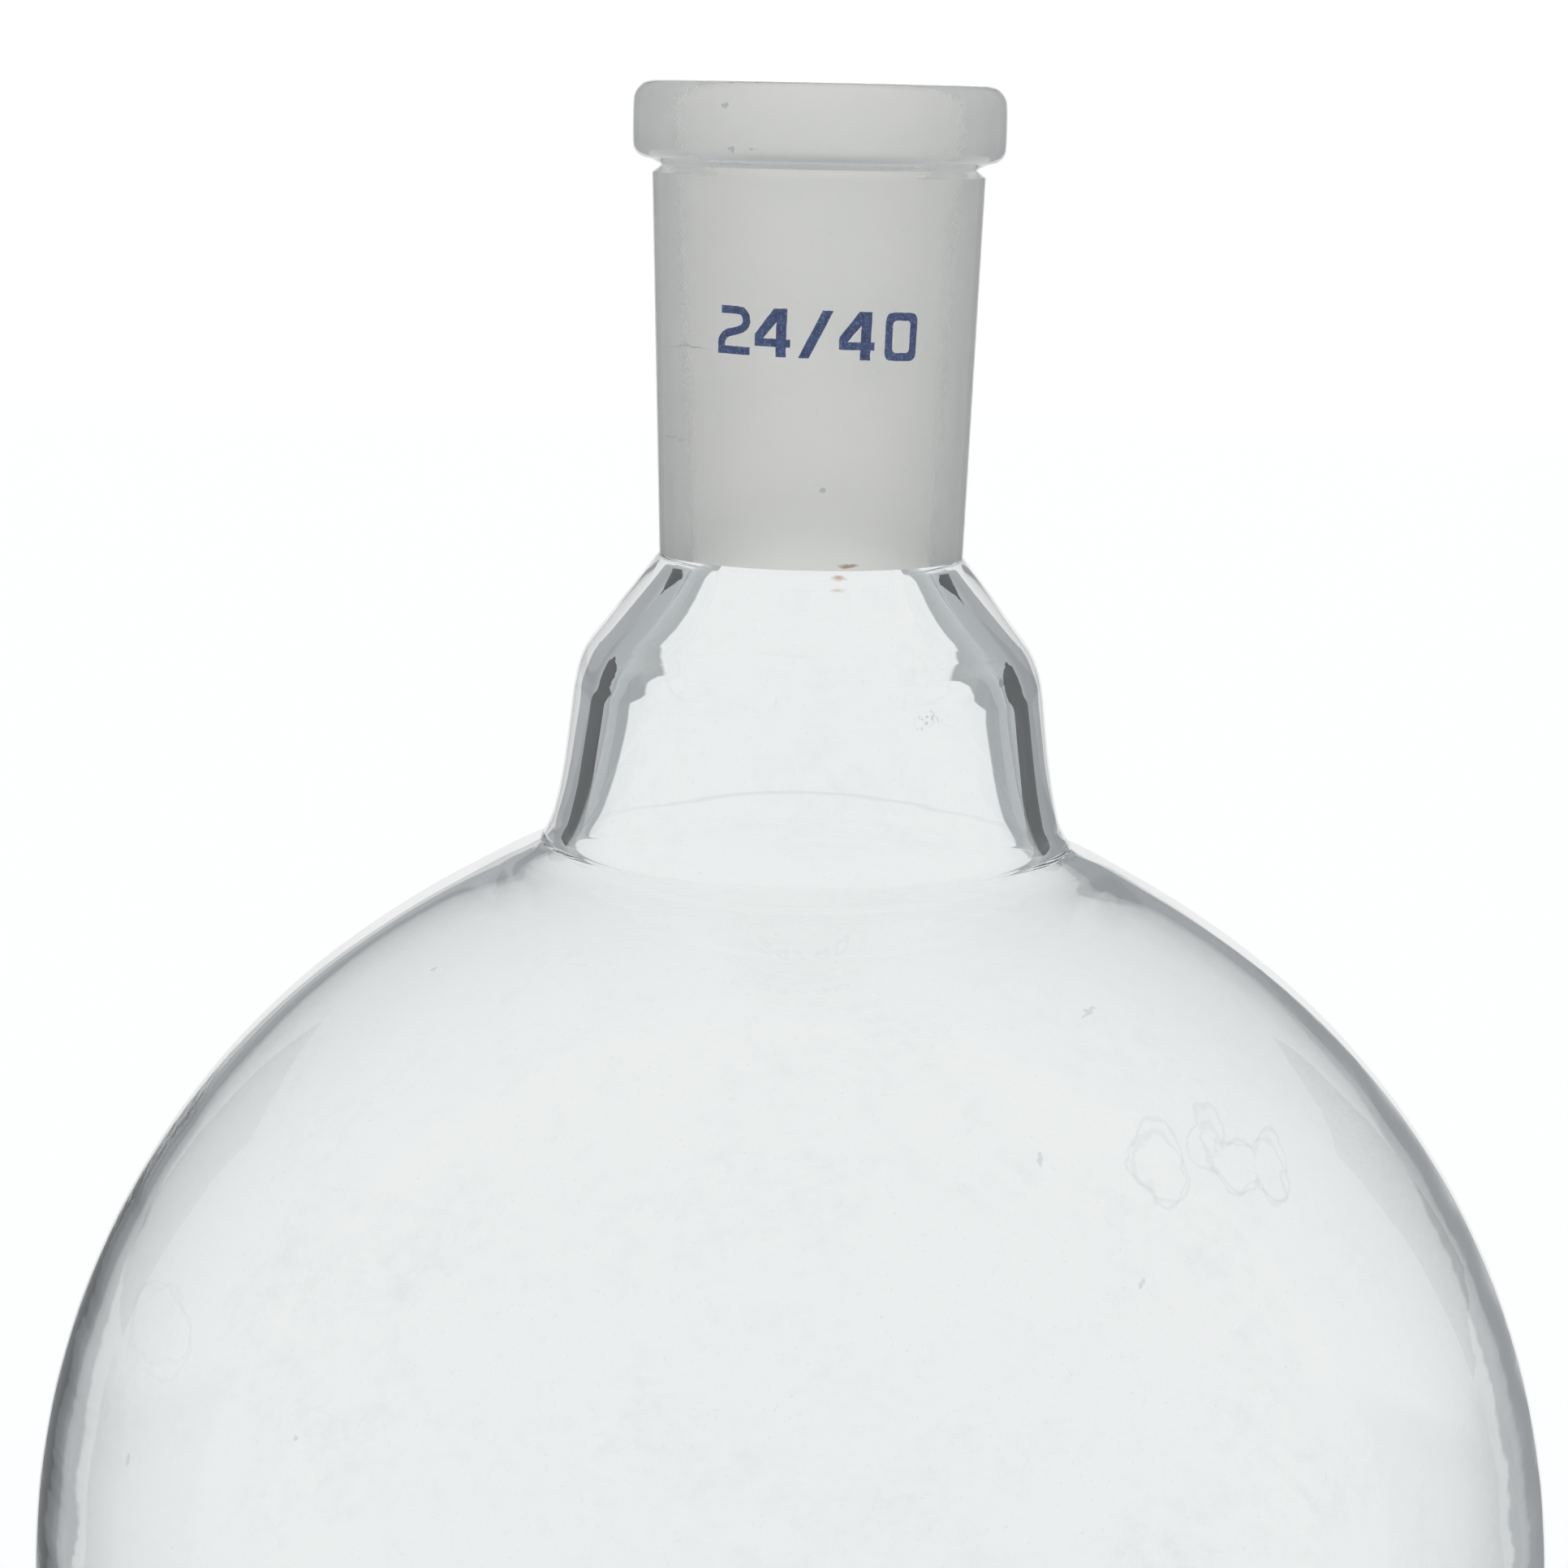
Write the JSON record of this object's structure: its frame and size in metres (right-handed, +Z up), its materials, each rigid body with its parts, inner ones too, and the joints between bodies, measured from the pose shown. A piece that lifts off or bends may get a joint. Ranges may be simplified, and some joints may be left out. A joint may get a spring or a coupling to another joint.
{
  "type": "round-bottom flask",
  "caption": "Clear borosilicate round-bottom flask with a short welded neck and a standard-taper ground-glass socket; stands in a cork ring or a clamp.",
  "frame": {"origin": "on the flask's axis, 23.5 mm below the flat top of the mouth, at the mid-height of the ground joint where a clamp grips it", "axes": "+Z up along the axis, out of the mouth; the size figures face -Y"},
  "size_m": [0.13, 0.13, 0.1905],
  "materials": {
    "clear_glass": "fire-polished clear borosilicate glass",
    "ground_glass": "clear glass outside, fine-ground and matt inside the bore",
    "blue_enamel": "fired satin enamel"
  },
  "bodies": {
    "root": {"joint_rim": "ground_glass", "joint_barrel": "ground_glass", "joint_tail": "clear_glass", "seal_ring": "clear_glass", "flask_neck": "clear_glass", "bulb": "clear_glass", "size_figure_2": "blue_enamel", "size_figure_4_first": "blue_enamel", "size_slash": "blue_enamel", "size_figure_4_second": "blue_enamel", "size_figure_0": "blue_enamel"}
  },
  "joints": []
}
